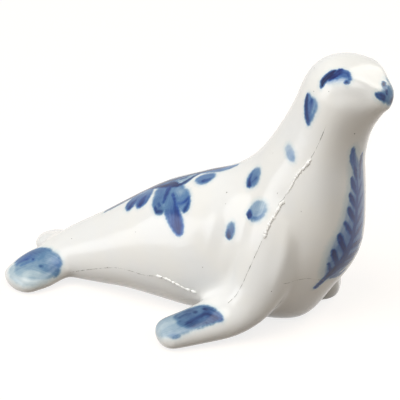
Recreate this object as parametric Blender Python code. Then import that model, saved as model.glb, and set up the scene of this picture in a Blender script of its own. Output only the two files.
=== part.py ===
"""Slip-cast porcelain seal figurine: one glazed piece, resting on its belly and four flippers.

Metres, +Z up, nose towards +X, the seal's left towards +Y. The origin is on the table,
under the middle of the flat belly.
"""

import math

import bmesh
import bpy
from mathutils import Matrix, Vector

# Body outline in the middle plane, from the tail to the muzzle. Each station:
# back (x, z), belly (x, z), half width, share of the height where it is widest,
# roundness of the back and of the belly (1 is an oval, less is squarer, more is keener),
# share of the head's turn.
BODY = (
    ((-0.0375, 0.0076), (-0.0375, 0.0010), 0.0054, 0.50, 1.00, 1.00, 0.0),
    ((-0.0335, 0.0107), (-0.0335, 0.0000), 0.0066, 0.48, 1.00, 1.05, 0.0),
    ((-0.0290, 0.0136), (-0.0290, -0.0003), 0.0076, 0.45, 1.00, 1.05, 0.0),
    ((-0.0235, 0.0171), (-0.0235, -0.0004), 0.0087, 0.42, 1.00, 1.20, 0.0),
    ((-0.0165, 0.0219), (-0.0165, -0.0004), 0.0103, 0.40, 1.00, 1.32, 0.0),
    ((-0.0085, 0.0268), (-0.0085, -0.0006), 0.0121, 0.39, 1.00, 1.08, 0.0),
    ((0.0000, 0.0303), (0.0005, -0.0010), 0.0136, 0.40, 1.00, 0.92, 0.0),
    ((0.0068, 0.0330), (0.0115, -0.0012), 0.0136, 0.42, 1.00, 1.05, 0.0),
    ((0.0120, 0.0369), (0.0234, -0.0006), 0.0136, 0.46, 1.00, 1.26, 0.0),
    ((0.0157, 0.0418), (0.0304, 0.0080), 0.0134, 0.50, 1.00, 1.05, 0.0),
    ((0.0188, 0.0471), (0.0357, 0.0174), 0.0128, 0.50, 1.00, 1.00, 0.0),
    ((0.0212, 0.0522), (0.0362, 0.0280), 0.0117, 0.50, 1.00, 1.00, 0.0),
    ((0.0229, 0.0566), (0.0357, 0.0368), 0.0106, 0.49, 1.00, 1.05, 0.2),
    ((0.0253, 0.0600), (0.0366, 0.0432), 0.0100, 0.48, 0.98, 1.15, 0.5),
    ((0.0293, 0.0619), (0.0382, 0.0473), 0.0095, 0.54, 0.88, 1.20, 0.8),
    ((0.0337, 0.0615), (0.0397, 0.0496), 0.0084, 0.66, 0.74, 1.25, 1.0),
    ((0.0375, 0.0599), (0.0407, 0.0511), 0.0066, 0.74, 0.66, 1.25, 1.0),
    ((0.0402, 0.0580), (0.0414, 0.0524), 0.0044, 0.70, 0.74, 1.10, 1.0),
)
HEAD_TURN = math.radians(14)  # to the seal's right, about an upright line in the neck
NECK_X = 0.0270
MUZZLE_BULGE = 0.0020  # how far the nose stands out past the last station
TAIL_BULGE = 0.0026

# A flipper grows from the flank of one body station. Each of its own stations:
# centre as (x from the middle of that body station, how far out past its flank, z),
# half width of the blade, half thickness, way the blade faces on the seal's right.
FRONT_ROOT = BODY[8]
RIGHT_FRONT_FLIPPER = (
    ((0.0042, -0.0084, 0.0360), 0.0050, 0.0040, (0.20, -1.00, 0.20)),
    ((0.0036, -0.0050, 0.0275), 0.0070, 0.0052, (0.20, -1.00, 0.15)),
    ((0.0012, -0.0028, 0.0180), 0.0072, 0.0056, (0.15, -1.00, 0.25)),
    ((-0.0016, -0.0012, 0.0102), 0.0061, 0.0054, (0.00, -0.80, 0.50)),
    ((-0.0062, 0.0012, 0.0054), 0.0060, 0.0046, (-0.15, -0.40, 1.00)),
    ((-0.0116, 0.0054, 0.0035), 0.0056, 0.0036, (-0.10, -0.10, 1.00)),
    ((-0.0168, 0.0099, 0.0026), 0.0048, 0.0030, (-0.05, -0.05, 1.00)),
)
LEFT_FRONT_FLIPPER = (
    ((0.0050, -0.0084, 0.0360), 0.0050, 0.0040, (0.20, -1.00, 0.20)),
    ((0.0056, -0.0052, 0.0275), 0.0070, 0.0052, (0.20, -1.00, 0.15)),
    ((0.0056, -0.0032, 0.0180), 0.0074, 0.0054, (0.15, -1.00, 0.25)),
    ((0.0046, -0.0040, 0.0084), 0.0070, 0.0050, (0.10, -0.80, 0.60)),
    ((0.0044, -0.0038, 0.0026), 0.0069, 0.0048, (0.10, -0.35, 1.00)),
    ((0.0034, 0.0010, 0.0021), 0.0067, 0.0038, (0.10, -0.10, 1.00)),
    ((0.0010, 0.0068, 0.0021), 0.0058, 0.0030, (0.05, -0.05, 1.00)),
)
FRONT_TIP_BULGE = 0.0030

HIND_ROOT = BODY[2]
RIGHT_HIND_FLIPPER = (
    ((-0.0012, -0.0060, 0.0056), 0.0046, 0.0040, (-0.05, -0.35, 1.00)),
    ((-0.0056, -0.0032, 0.0043), 0.0054, 0.0036, (-0.05, -0.40, 1.00)),
    ((-0.0088, 0.0005, 0.0030), 0.0060, 0.0031, (-0.05, -0.35, 1.00)),
    ((-0.0107, 0.0039, 0.0023), 0.0054, 0.0027, (-0.05, -0.20, 1.00)),
)
LEFT_HIND_FLIPPER = (
    ((-0.0012, -0.0060, 0.0054), 0.0050, 0.0042, (-0.05, -0.35, 1.00)),
    ((-0.0056, -0.0031, 0.0042), 0.0058, 0.0036, (-0.05, -0.35, 1.00)),
    ((-0.0094, -0.0005, 0.0028), 0.0060, 0.0031, (-0.05, -0.30, 1.00)),
    ((-0.0116, 0.0019, 0.0021), 0.0049, 0.0026, (-0.05, -0.20, 1.00)),
)
HIND_TIP_BULGE = 0.0030

RING_POINTS = 48
STEPS_BETWEEN_STATIONS = 6
TIP_STEPS = 6
SKIN_GRID = 0.0006  # grid of the single skin that joins body and flippers
SKIN_SMOOTHING = 24
SKIN_FACES = 11000
SHORTEST_EDGE = 0.00005  # what the cut at the table leaves shorter than this is closed up

TO_NECK = Matrix.Translation((-NECK_X, 0, 0))


def clear_scene():
    for obj in list(bpy.data.objects):
        bpy.data.objects.remove(obj, do_unlink=True)


def catmull_rom(before, start, end, after, t):
    """A point on the smooth curve from start to end; works on numbers and on vectors."""
    return 0.5 * (
        2 * start
        + (end - before) * t
        + (2 * before - 5 * start + 4 * end - after) * t * t
        + (3 * start - before - 3 * end + after) * t * t * t
    )


def smoothed(values, steps=STEPS_BETWEEN_STATIONS):
    """The listed values with steps - 1 more between each two, along one smooth curve."""
    found = []
    last = len(values) - 1
    for i in range(last):
        start, end = values[i], values[i + 1]
        before = values[i - 1] if i > 0 else 2 * start - end
        after = values[i + 2] if i + 2 <= last else 2 * end - start
        found += [catmull_rom(before, start, end, after, n / steps) for n in range(steps)]
    return found + [values[last]]


def shaped(share, roundness):
    """How far out the skin is, from 0 to 1, where an oval would be share of the way."""
    return math.copysign(abs(share) ** roundness, share)


def turned(point, share):
    """The point after its share of the head's turn."""
    return TO_NECK.inverted() @ Matrix.Rotation(-HEAD_TURN * share, 4, "Z") @ TO_NECK @ point


def body_ring(back, belly, width, share, back_roundness, belly_roundness, turn):
    """A ring of points round the body, widest at its own height."""
    middle = belly.lerp(back, share)
    ring = []
    for n in range(RING_POINTS):
        angle = 2 * math.pi * n / RING_POINTS
        upper = math.cos(angle) > 0
        reach = (back - middle) if upper else (middle - belly)
        out = shaped(math.sin(angle), back_roundness if upper else belly_roundness)
        point = middle + reach * math.cos(angle) + Vector((0, width * out, 0))
        ring.append(turned(point, turn))
    return ring


def body_rings():
    columns = list(zip(*BODY))
    backs = smoothed([Vector((x, 0, z)) for x, z in columns[0]])
    bellies = smoothed([Vector((x, 0, z)) for x, z in columns[1]])
    others = [smoothed(column) for column in columns[2:]]
    return [body_ring(*values) for values in zip(backs, bellies, *others)]


def flank_of(station):
    """The middle x of a body station and the half width there."""
    back, belly, width = station[:3]
    return (back[0] + belly[0]) / 2, width


def flipper_rings(stations, root, side):
    """Oval rings along a flipper; side is 1 for the seal's right and -1 for its left."""
    root_x, flank = flank_of(root)
    centres = smoothed([Vector((root_x + x, -side * (flank + out), z)) for (x, out, z), *_ in stations])
    halves = smoothed([s[1] for s in stations])
    depths = smoothed([s[2] for s in stations])
    faces = smoothed([Vector((x, side * y, z)) for *_, (x, y, z) in stations])
    rings = []
    last = len(centres) - 1
    for i, (centre, half, depth, face) in enumerate(zip(centres, halves, depths, faces)):
        along = (centres[min(i + 1, last)] - centres[max(i - 1, 0)]).normalized()
        up = (face - along * face.dot(along)).normalized()
        across = along.cross(up) * side
        ring = []
        for n in range(RING_POINTS):
            angle = 2 * math.pi * n / RING_POINTS
            ring.append(centre + across * half * math.sin(angle) + up * depth * math.cos(angle))
        rings.append(ring)
    return rings


def middle_of(ring):
    return sum(ring, Vector()) / len(ring)


def round_tip(rings, bulge):
    """Rings that close the last one off with a rounded end, bulge long."""
    centre = middle_of(rings[-1])
    along = (centre - middle_of(rings[-2])).normalized()
    tip = []
    for n in range(1, TIP_STEPS):
        angle = 0.5 * math.pi * n / TIP_STEPS
        shift = along * bulge * math.sin(angle)
        tip.append([centre + (p - centre) * math.cos(angle) + shift for p in rings[-1]])
    return tip


def add_loft(mesh, rings):
    """Adds the closed skin through the rings to a bmesh."""
    rows = [[mesh.verts.new(p) for p in ring] for ring in rings]
    faces = []
    for lower, upper in zip(rows, rows[1:]):
        for n in range(RING_POINTS):
            m = (n + 1) % RING_POINTS
            faces.append(mesh.faces.new((lower[n], lower[m], upper[m], upper[n])))
    faces.append(mesh.faces.new(rows[0]))
    faces.append(mesh.faces.new(rows[-1]))
    bmesh.ops.recalc_face_normals(mesh, faces=faces)


def loft_with_ends(mesh, rings, end_bulge, start_bulge=0.0):
    before = round_tip(rings[::-1], start_bulge)[::-1] if start_bulge else []
    add_loft(mesh, before + rings + round_tip(rings, end_bulge))


def glaze_material():
    material = bpy.data.materials.new("white glaze")
    material.use_nodes = True
    surface = material.node_tree.nodes["Principled BSDF"]
    surface.inputs["Base Color"].default_value = (0.86, 0.85, 0.81, 1)
    surface.inputs["Roughness"].default_value = 0.12
    surface.inputs["Metallic"].default_value = 0.0
    return material


def apply_modifiers(obj):
    """Fixes what the modifiers make as the object's own mesh."""
    graph = bpy.context.evaluated_depsgraph_get()
    made = bpy.data.meshes.new_from_object(obj.evaluated_get(graph))
    obj.modifiers.clear()
    obj.data = made


def join_into_one_skin(obj):
    remesh = obj.modifiers.new("one skin", "REMESH")
    remesh.mode = "VOXEL"
    remesh.voxel_size = SKIN_GRID
    soften = obj.modifiers.new("soft joins", "SMOOTH")
    soften.factor = 0.5
    soften.iterations = SKIN_SMOOTHING
    apply_modifiers(obj)
    thin = obj.modifiers.new("facets", "DECIMATE")
    thin.ratio = SKIN_FACES / (2 * len(obj.data.polygons))
    apply_modifiers(obj)


def cut_flat_base(obj):
    """Takes off all that lies below the table, which leaves the flat underside."""
    reach = 2 * max(obj.dimensions)
    cutter = bpy.data.objects.new("base_cutter", bpy.data.meshes.new("base_cutter"))
    block = bmesh.new()
    bmesh.ops.create_cube(block, size=reach)
    bmesh.ops.translate(block, vec=(0, 0, -reach / 2), verts=block.verts)
    block.to_mesh(cutter.data)
    block.free()
    bpy.context.collection.objects.link(cutter)
    cutter.hide_render = True
    cutter.display_type = "WIRE"
    cut = obj.modifiers.new("flat base", "BOOLEAN")
    cut.operation = "DIFFERENCE"
    cut.solver = "EXACT"
    cut.object = cutter
    close_up = obj.modifiers.new("short edges", "WELD")
    close_up.merge_threshold = SHORTEST_EDGE


def build_seal():
    mesh = bmesh.new()
    loft_with_ends(mesh, body_rings(), MUZZLE_BULGE, TAIL_BULGE)
    for stations, side in ((RIGHT_FRONT_FLIPPER, 1), (LEFT_FRONT_FLIPPER, -1)):
        loft_with_ends(mesh, flipper_rings(stations, FRONT_ROOT, side), FRONT_TIP_BULGE)
    for stations, side in ((RIGHT_HIND_FLIPPER, 1), (LEFT_HIND_FLIPPER, -1)):
        loft_with_ends(mesh, flipper_rings(stations, HIND_ROOT, side), HIND_TIP_BULGE)
    seal = bpy.data.objects.new("seal_body", bpy.data.meshes.new("seal_body"))
    mesh.to_mesh(seal.data)
    mesh.free()
    bpy.context.collection.objects.link(seal)
    join_into_one_skin(seal)
    cut_flat_base(seal)
    seal.data.materials.append(glaze_material())
    return seal


def main():
    clear_scene()
    build_seal()


main()
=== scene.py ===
"""Glazed porcelain seal figurine with blue brushwork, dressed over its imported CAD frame.

Metres, +Z up, nose towards +X, the seal's left towards +Y, as in the frame.
"""

import math

import bmesh
import bpy
import numpy as np
from bpy.props import FloatProperty, FloatVectorProperty, IntProperty, PointerProperty
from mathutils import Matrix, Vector
from mathutils.bvhtree import BVHTree


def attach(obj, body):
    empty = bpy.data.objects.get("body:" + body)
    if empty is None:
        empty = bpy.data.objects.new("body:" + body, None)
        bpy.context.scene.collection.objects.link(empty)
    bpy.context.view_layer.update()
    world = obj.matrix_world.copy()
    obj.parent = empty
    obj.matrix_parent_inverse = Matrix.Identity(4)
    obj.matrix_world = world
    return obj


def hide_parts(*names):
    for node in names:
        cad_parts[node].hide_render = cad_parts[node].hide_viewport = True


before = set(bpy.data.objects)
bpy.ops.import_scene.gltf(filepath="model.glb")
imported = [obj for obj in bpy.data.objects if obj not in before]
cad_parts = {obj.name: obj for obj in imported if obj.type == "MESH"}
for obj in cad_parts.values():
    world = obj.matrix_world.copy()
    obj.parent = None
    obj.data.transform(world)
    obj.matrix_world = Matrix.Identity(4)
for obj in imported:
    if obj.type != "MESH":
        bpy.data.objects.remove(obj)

bl_info = {
    "name": "Glazed Seal Figurine",
    "version": (1, 0, 0),
    "blender": (4, 5, 0),
    "location": "3D View > Sidebar > Seal",
    "description": "Dresses the packed seal figurine with glaze, brushwork, casting seam and studio",
    "category": "Object",
}

CAD_BODY = "root"
CAD_NODE = "seal_body"
MM = 0.001

# The view that the brushwork is read from. Places in it are pixels of a square picture.
PICTURE_MIDDLE = 200
PICTURE_WIDTH = 400
VIEW_AZIMUTH = math.radians(20.5)
VIEW_ELEVATION = math.radians(25.7)
VIEW_DISTANCE = 0.420
VIEW_TARGET = Vector((-0.0008, 0.0, 0.0235))
FOCAL_PIXELS = 1906.8
SENSOR_WIDTH = 36.0
FOCAL_LENGTH = FOCAL_PIXELS / PICTURE_WIDTH * SENSOR_WIDTH

# The head is turned to the seal's right about an upright line in the neck.
HEAD_TURN = math.radians(14)
HEAD_LEFT = Vector((math.sin(HEAD_TURN), math.cos(HEAD_TURN), 0))
NECK = Vector((0.0270, 0, 0))
HEAD_EDGE = 150  # above this row of the picture a path lies on the head or neck
BODY_LEFT = Vector((0, 1, 0))
BODY_MIDDLE = Vector()
UP = Vector((0, 0, 1))

# How far the left side's brushwork stands from the mirrored right side's.
LEFT_EYE_SHIFT = 1.3 * MM * (HEAD_LEFT - UP)
LEFT_FRONT_SHIFT = Vector((0.0165, 0, 0))
LEFT_HIND_SHIFT = Vector((0.0040, 0, 0))
NO_SHIFT = Vector()

# The skin: how it is merged, eased of its facets and raised.
WELD_GAP = 0.001 * MM
EASE_IN = 0.50
EASE_OUT = -0.52
RELIEF_REACH = 2.5  # half widths out to which a ridge still tells
RIDGE_FULLNESS = 0.7  # the less it is, the sooner a ridge rises to its height
NEAREST_ROUNDS = 8  # rounds that settle a pixel beside the skin on its nearest place

# The brush.
WASH = "wash"
LINE = "line"
LAYERS = (WASH, LINE)
STROKE_GAP = 0.8  # pixels between the points of a stroke
FULLNESS = {WASH: 1.2, LINE: 1.08}  # how far the thick glaze spreads the paint
WIDEST_SLANT = 1.8  # how much wider a stroke may get where the skin turns away from the view
FLATTEST_FACING = 0.2  # least cosine to the view that this slant is worked out from
PAINT_REACH = 2.5 * MM  # how far from a stroke its distance is still worked out
OVERLAP = 0.80 * MM  # over this depth a stroke covers the one below it
TURNED_AWAY = 0.3  # cosine of the turn past which skin draws back from a stroke
AWAY_GAP = 3.0 * MM  # how far it draws back
SHOWN_GAP = 6.0 * MM  # how far a far-side stroke draws back from the skin that the picture shows
DAB_REACH = 2.5  # radii out to which a dab still tells

# Mottling of glaze and paint, in waves per metre, and the spans of noise that it uses.
WOBBLE_WAVES = 1500
CLOUD_WAVES = 420
WARMTH_WAVES = 90
SHEEN_WAVES = 700
RIPPLE_WAVES = 210
FINE_RIPPLE_WAVES = 1300
CRUMB_WAVES = 1600
DARK_WAVES = 2600
HAIRLINE_WAVES = 900
WIDE_SPAN = (0.3, 0.7)
NARROW_SPAN = (0.35, 0.65)

# The paint under the glaze. Edges and depths are in millimetres, minus towards the stroke's middle.
SOFTNESS = {WASH: 0.60, LINE: 0.42}  # half the width over which an edge fades
LINE_BLEND = 0.30
STREAK_STRETCH = (0.35, 3.2, 7.3)  # along the stroke, across it, and from stroke to stroke
STREAK_TONES = (0.91, 1.06)
CLOUD_TONES = (0.88, 1.08)
RIM = (-0.7, -0.05)  # where paint gathers inside an edge
RIM_STRENGTH = 0.12
BLEED_START = -0.3
BLEED_WOBBLE = 2.0
FULL_COLOUR = 0.30  # the amount of paint from which its own colour shows
GREY_BLUES = (
    (0.00, (0.66, 0.73, 0.74)),
    (0.22, (0.38, 0.50, 0.57)),
    (0.48, (0.110, 0.225, 0.370)),
    (0.74, (0.032, 0.082, 0.205)),
    (1.00, (0.006, 0.010, 0.060)),
)
CLEAR_BLUES = (
    (0.00, (0.64, 0.71, 0.80)),
    (0.22, (0.34, 0.45, 0.63)),
    (0.48, (0.095, 0.205, 0.450)),
    (0.74, (0.022, 0.082, 0.330)),
    (1.00, (0.003, 0.014, 0.130)),
)

# The glaze's gloss, and the crumbs, pinholes and hairline in it.
SHEEN_SPREAD = 0.05
FINE_RIPPLE = 0.10  # height of the fine ripples, as a share of the broad ones
CRUMB_ROUGHNESS = (0.10, 0.30)
DARK_ROUGHNESS = (0.25, 0.50)
SEAM_DARK = (0.16, 0.15, 0.13)
SEAM_LIGHT = (0.42, 0.40, 0.36)
PINHOLE_DARK = (0.10, 0.09, 0.08)
PINHOLE_LIGHT = (0.24, 0.21, 0.18)
BEAD_FACES_LEVEL = 2
BEAD_NARROWNESS = 0.75
THREAD_CORNERS = 6
THINNEST_THREAD = 0.12
FULL_THREAD = 0.62  # from this noise on the thread has its full width
SEAM_GAP = 1.0  # pixels between the points of a seam
CRUMB_GAP = 1.1

# The studio. Soft lamps: name, way round from the seal's right side and height in degrees,
# size in metres, share of the power, colour.
FLOOR_HALF_WIDTH = 3.0
FLOOR_HEIGHT = -0.05 * MM
LAMPS = (
    ("overhead", -15, 60, (0.70, 0.70), 0.45, (1.00, 0.98, 0.94)),
    ("window", -50, 13, (0.62, 0.46), 0.25, (0.92, 0.95, 1.00)),
    ("back", 150, 38, (0.52, 0.52), 0.20, (1.00, 0.98, 0.93)),
    ("side", 58, 48, (0.40, 0.40), 0.12, (1.00, 0.99, 0.97)),
)

# Low ridges (plus) and hollows (minus) that both sides of the skin have: height in millimetres
# and path as (x, y, half width) in pixels of the view.
RELIEF = (
    (0.26, (
        (346, 80, 2), (354, 80.6, 3.4), (361.5, 82.6, 4), (368, 86, 4), (375, 89, 3.6), (384, 90.4, 2.2))),
    (-0.50, ((330, 97, 6), (342, 95.4, 8), (352, 96, 8.6), (361, 98.6, 8.4), (369, 103, 6.6))),
    (0.16, ((324.5, 84.6, 1.6), (331, 81.8, 2.2), (339, 81.4, 2.2), (348, 83, 1.6))),
    (0.12, ((217.6, 200, 3), (215.6, 218, 4.6), (211, 240, 4.6), (206, 258, 3))),
    (-0.20, ((231, 198, 4), (227, 220, 6.5), (221, 244, 6.5), (216, 264, 4))),
    (0.20, ((243.6, 200, 3), (240.2, 218, 4), (235.6, 240, 4.2), (230.6, 262, 3))),
    (0.09, (
        (309.4, 160, 1.6), (303, 167.8, 1.8), (294.5, 177.8, 1.8), (289.8, 187, 1.8), (285.3, 197.2, 1.8),
        (278.4, 204.6, 1.8), (272.9, 216.8, 1.8), (267.5, 226, 1.8), (263.2, 237.4, 1.8),
        (258.3, 248.8, 1.6), (251.2, 264.4, 1.4))),
    (0.34, ((287, 224, 4), (286, 240, 5.5), (284, 256, 6), (279.5, 272, 6), (273.5, 288, 4.5))),
    (-0.16, ((300, 232, 4), (299, 248, 6.5), (296, 264, 6.5), (290, 282, 5))),
)

# One brush stroke: layer, strength (from, to), share of clear blue (from, to),
# and its path as (x, y, half width) in pixels of the view.
EYE_STROKES = (
    (WASH, (0.58, 0.50), (0.7, 0.8), ((339, 74, 3), (344.5, 75, 3.8), (348.4, 78.6, 2.2))),
    (WASH, (0.30, 0.22), (0.9, 0.9), ((329, 81, 1.8), (337, 79, 2.6), (344, 79.5, 2.4))),
    (LINE, (1.00, 0.96), (0, 0.3), (
        (321.6, 86, 1.2), (323.2, 81.6, 2.3), (327, 77.2, 2.6), (331.6, 73.2, 2.4), (335, 71, 1.2))),
    (LINE, (0.96, 0.86), (0.6, 0.9), ((329.8, 78.6, 1.7), (335.4, 75.2, 2.7), (341, 70.6, 2.3))),
    (LINE, (0.62, 0.52), (0.6, 0.6), ((341.8, 72, 1.9), (346.6, 72.6, 2.3), (349, 76.4, 1.6))),
    (LINE, (0.44, 0.36), (0.6, 0.6), ((337, 78.6, 0.8), (341.6, 76, 1), (345.6, 76.4, 0.9))),
    (LINE, (0.52, 0.66), (0.6, 0.4), ((349, 75.6, 1.3), (349.6, 79, 1.2), (348.6, 81.8, 1.1))),
    (LINE, (0.98, 0.98), (0.2, 0.2), ((346.6, 82.6, 1.5), (348.2, 82, 1.5))),
)
EAR_STROKES = (
    (WASH, (0.62, 0.52), (0.5, 0.4), (
        (308.2, 97, 1.8), (309.2, 103.5, 3.4), (309.8, 110, 4), (309, 117.5, 2.8), (308.4, 123.5, 1))),
    (WASH, (0.50, 0.36), (0.4, 0.4), ((311, 100, 2), (313.2, 105, 3.4), (311.6, 112, 2.8))),
    (LINE, (0.86, 0.78), (0.2, 0.5), (
        (307.3, 95.4, 0.8), (306.4, 101, 1.4), (306.2, 109, 1.5), (307, 117.5, 1.6), (308.2, 124, 1))),
    (LINE, (0.56, 0.44), (0.5, 0.5), ((311.6, 101, 1.4), (310.8, 106.5, 1.4), (309.8, 112, 0.9))),
)
NOSE_STROKES = (
    (WASH, (0.24, 0.30), (0.3, 0.2), ((387.6, 80, 1.4), (391, 84, 2.2), (392.6, 88.6, 3))),
    (WASH, (0.50, 0.54), (0.2, 0.1), (
        (383.6, 94.6, 3.6), (388.6, 92.6, 4.8), (389.4, 97.4, 4.4), (384.4, 99, 3.4))),
    (LINE, (1.00, 1.00), (0.1, 0.1), ((384.3, 83, 1.9), (383.1, 84.8, 1.9))),
    (LINE, (0.80, 0.84), (0.3, 0.2), ((386.6, 90.4, 0.7), (386.8, 93.6, 0.9))),
    (LINE, (0.86, 0.70), (0.3, 0.4), ((377, 94.6, 2), (380, 96, 3.4), (383.2, 97, 3))),
    (LINE, (0.90, 0.94), (0.1, 0.1), ((394.2, 90, 0.9), (394, 96.4, 1.3), (391.2, 102.2, 1.3))),
)
NECK_SPOT_STROKES = (
    (WASH, (0.22, 0.38), (0.7, 0.5), ((288.4, 149, 2.8), (290.6, 154.6, 3.2), (292.4, 159, 2))),
    (WASH, (0.50, 0.54), (0.3, 0.4), ((256.2, 174.4, 3.4), (253.6, 177.8, 4.6), (250.8, 181.8, 3.4))),
    (WASH, (0.28, 0.40), (0.2, 0.3), ((260.6, 208.2, 5.6), (256.8, 210.8, 6.8), (253.4, 213, 5.2))),
    (WASH, (0.56, 0.72), (0.2, 0.3), ((231.8, 225.6, 2.4), (230.8, 230.2, 3.4), (229.4, 234.8, 2.9))),
    (WASH, (0.54, 0.58), (0.5, 0.4), ((200.8, 178.6, 2.8), (205, 178.4, 4), (210.2, 176.8, 2.8))),
    (LINE, (0.55, 0.84), (0.5, 0.6), ((251.6, 174.8, 0.7), (249.2, 180, 1.1), (249.4, 184.6, 1.7))),
    (LINE, (0.50, 0.40), (0.4, 0.4), ((252.6, 181.6, 0.8), (256.4, 177.6, 0.9))),
    (LINE, (0.90, 0.80), (0.7, 0.7), ((249.2, 213.8, 2.3), (249.8, 215.4, 2.2))),
    (LINE, (0.34, 0.14), (0.5, 0.4), (
        (252.6, 217.8, 0.9), (257.4, 218.2, 1), (263, 214.8, 0.9), (265, 209.6, 0.7))),
    (LINE, (0.55, 0.94), (0.3, 0.2), ((228.6, 230.4, 0.8), (228.4, 234, 1.5), (229.2, 237, 1.5))),
    (LINE, (0.66, 0.50), (0.5, 0.4), ((203.6, 181, 1.3), (209.6, 179.2, 1.1))),
)
SPRAY_STROKES = (
    (WASH, (0.36, 0.45), (0.4, 0.4), ((134, 196.2, 1.4), (142, 192.2, 2.8), (151, 188.6, 2.4))),
    (WASH, (0.54, 0.72), (0.3, 0.7), (
        (151, 189.6, 1.8), (146.8, 193.8, 3.6), (143, 199, 4.2), (140.2, 203.8, 2.4))),
    (WASH, (0.58, 0.74), (0.4, 0.5), (
        (141, 195.2, 2), (135, 199.4, 3.6), (131.2, 203.8, 3.2), (129.2, 208, 1.6))),
    (WASH, (0.50, 0.54), (0.3, 0.4), ((162, 190.6, 4.4), (170, 190.2, 5.4), (178, 190.4, 4.4))),
    (WASH, (0.56, 0.60), (0.4, 0.2), (
        (161.8, 190.4, 3.6), (160.4, 197, 5.4), (159.8, 203, 5.8), (160, 208.4, 4.8))),
    (WASH, (0.54, 0.54), (0.4, 0.3), ((165, 192, 2.6), (165.4, 200, 2.6), (165.6, 208, 2.4))),
    (WASH, (0.48, 0.52), (0.3, 0.4), (
        (177.4, 189.4, 4), (181.6, 194.6, 6.2), (183.2, 201.4, 6), (184.4, 207.6, 3.8))),
    (WASH, (0.52, 0.90), (0.1, 1), (
        (169.8, 189.4, 3.6), (168.8, 198.4, 5.4), (170.8, 208.6, 6), (174.4, 217.8, 6.2), (177.4, 226, 5),
        (178.8, 231.2, 3.2))),
    (LINE, (0.60, 0.78), (0.6, 0.8), ((144.6, 197.2, 1.3), (142, 201.2, 1.9), (140.2, 204.8, 1.3))),
    (LINE, (0.46, 0.72), (0.5, 0.7), ((135.4, 200.6, 1), (131.6, 204.8, 1.3), (129.6, 207.6, 1))),
    (LINE, (0.80, 0.66), (0.7, 0.6), ((169.4, 187.6, 1.6), (166.4, 194.2, 1.5), (163.6, 202.2, 1))),
    (LINE, (0.66, 0.72), (0.5, 0.4), ((154.8, 207.4, 1), (157, 211.6, 1.3), (161.4, 211.2, 1))),
    (LINE, (0.58, 0.58), (0.5, 0.5), ((158.6, 203.6, 1.1), (159.6, 205.6, 1.1))),
    (LINE, (0.56, 0.58), (0.7, 1), (
        (172.4, 194, 1.1), (175.6, 203, 1.5), (176.8, 211, 2), (177.4, 220, 2.6), (178.4, 228, 2.4))),
    (LINE, (0.50, 0.66), (0.8, 0.9), ((176.6, 203.6, 1), (182.6, 202.8, 1.2), (187.4, 199.2, 1))),
    (LINE, (0.40, 0.74), (0.7, 0.5), ((188.6, 197, 1), (188.2, 204, 1.5), (184.8, 210, 1.8))),
    (LINE, (0.84, 0.92), (0.3, 0.3), (
        (152.4, 188.2, 0.9), (159, 186.8, 1.1), (165.6, 185.6, 1.5), (172.2, 184.4, 2.4),
        (178.2, 185.2, 1.4))),
    (LINE, (0.90, 0.80), (0.4, 0.2), (
        (178.2, 185.2, 1.2), (184, 182.8, 1.3), (189.2, 179.6, 1.2), (194.4, 176.2, 1),
        (199.4, 173.4, 0.9))),
    (LINE, (0.66, 0.66), (0.2, 0.2), ((180.6, 179, 0.8), (186.4, 177.4, 0.9))),
)
BACK_STROKES = (
    (WASH, (0.60, 0.60), (0.4, 0.4), (
        (199, 173, 1.4), (210, 170.8, 2.2), (222, 168.8, 2.8), (231, 166.8, 2.2), (237, 165, 1))),
    (WASH, (0.70, 0.70), (0.1, 0.1), (
        (148, 189, 1.6), (158, 185.4, 2.2), (168, 182.4, 2.2), (176, 180.4, 1.6))),
    (WASH, (0.34, 0.34), (0.1, 0.1), ((176, 181.4, 1.6), (185, 178.8, 2.2), (193, 175.6, 1.6))),
    (LINE, (0.90, 0.90), (0, 0), (
        (150, 187.6, 1.4), (160, 183.6, 1.6), (172, 179.8, 1.6), (185, 176.2, 1.4), (198, 172.8, 1.4),
        (212, 169.6, 1.6), (226, 166.6, 1.4))),
    (LINE, (0.90, 0.90), (0, 0), (
        (106, 211, 1.2), (122, 202.6, 1.5), (134, 196.2, 1.5), (144, 191, 1.4), (152, 187.6, 1.2))),
    (LINE, (0.50, 0.60), (0, 0), ((50.6, 230.6, 0.6), (55.5, 230, 1), (61.5, 229.8, 0.6))),
)
HIND_STROKES = (
    (WASH, (0.20, 0.16), (0, 0), (
        (13, 275, 4), (20, 277, 6), (30, 279, 6), (42, 278, 5), (50, 275, 4))),
    (WASH, (0.24, 0.24), (0, 0), ((15, 269, 4), (21, 267, 6), (29, 265, 7))),
    (WASH, (0.66, 0.55), (0.4, 0.1), (
        (21.4, 262.8, 3.8), (28, 258.4, 6.2), (36.4, 254.6, 5.8), (45, 253.8, 4.6))),
    (WASH, (0.48, 0.47), (0.1, 0.3), ((44, 256.4, 5.6), (50.6, 259, 6.4), (55.6, 263.6, 5.4))),
    (WASH, (0.43, 0.55), (0, 0.1), ((26, 267.6, 7), (36, 267, 8.4), (46, 268.6, 8.2), (53, 270.4, 6))),
    (WASH, (0.32, 0.34), (0, 0), ((22, 272.4, 4.4), (32, 274.6, 4.8), (42, 275.8, 4.2), (50, 274.6, 3.2))),
    (LINE, (0.90, 0.90), (0.7, 0.7), ((33, 259.2, 0.8), (33.7, 259.6, 0.8))),
    (LINE, (0.60, 0.60), (0.2, 0.2), ((40.4, 265.8, 0.8), (42.4, 266.4, 0.8))),
    (LINE, (0.30, 0.20), (0.4, 0.4), ((21, 265.6, 0.7), (27, 262.8, 0.9), (34, 260.2, 0.8))),
)
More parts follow.
